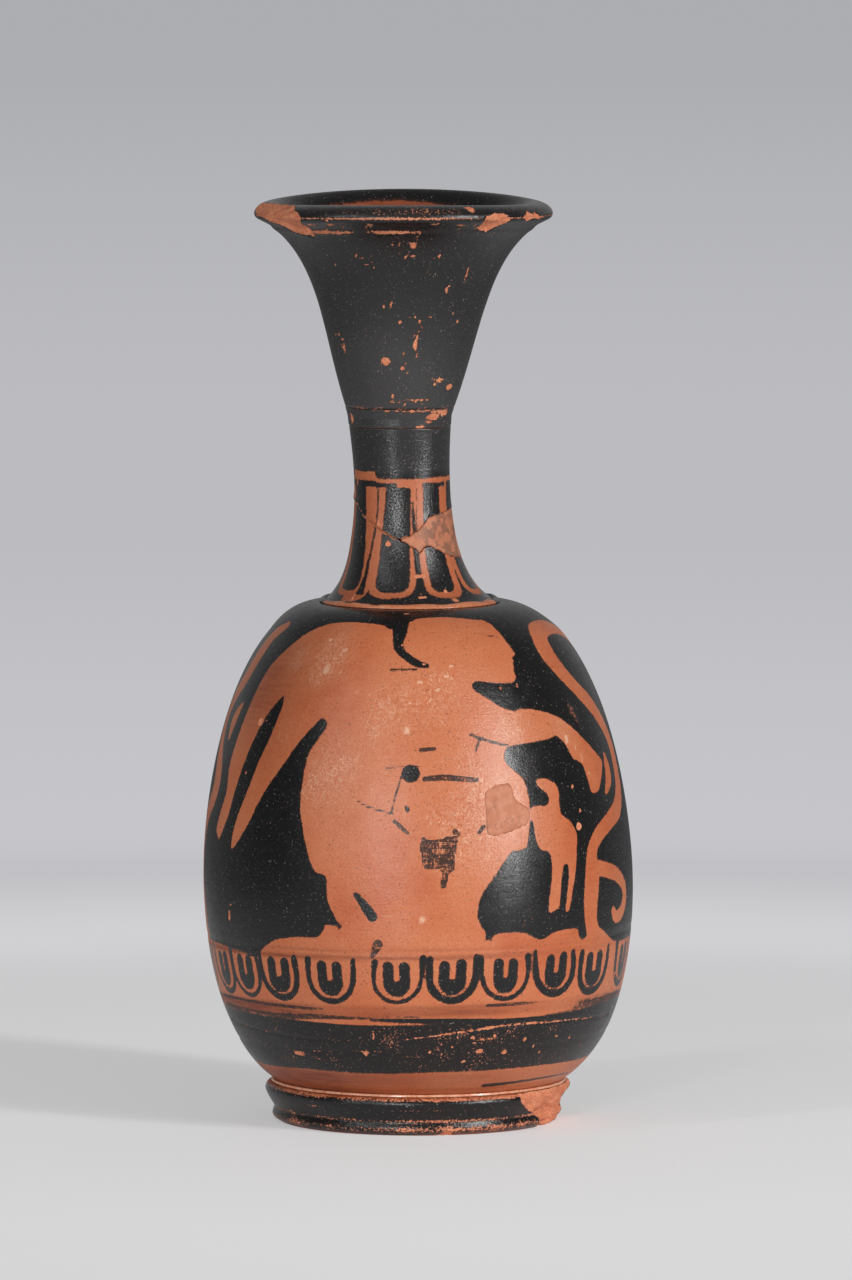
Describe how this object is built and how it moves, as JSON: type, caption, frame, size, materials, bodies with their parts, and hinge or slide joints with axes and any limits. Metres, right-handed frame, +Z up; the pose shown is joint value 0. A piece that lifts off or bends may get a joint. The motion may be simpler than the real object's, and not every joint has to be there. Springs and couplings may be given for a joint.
{
  "type": "lekythos",
  "caption": "Small red-figure oil jar with an ovoid body, a narrow mended neck, a trumpet mouth, a ring foot and a strap handle at the back.",
  "frame": {"origin": "centre of the foot's resting ring, on the surface that the jar stands on", "axes": "+Z up along the jar, the painted front faces -Y, the handle is at +Y"},
  "size_m": [0.084, 0.084, 0.1805],
  "materials": {
    "black_gloss": "satin",
    "red_clay": "matte",
    "painted_body": "satin",
    "painted_neck": "satin",
    "fill_plaster": "matte"
  },
  "bodies": {
    "root": {"foot": "black_gloss", "foot_luting": "red_clay", "body": "painted_body", "belly_fill": "fill_plaster", "shoulder_ring": "red_clay", "neck_lower": "painted_neck", "neck_fill": "fill_plaster", "neck_upper": "painted_neck", "mouth_luting": "black_gloss", "mouth": "black_gloss", "handle": "black_gloss", "handle_top_luting": "black_gloss", "handle_root_luting": "black_gloss"}
  },
  "joints": []
}
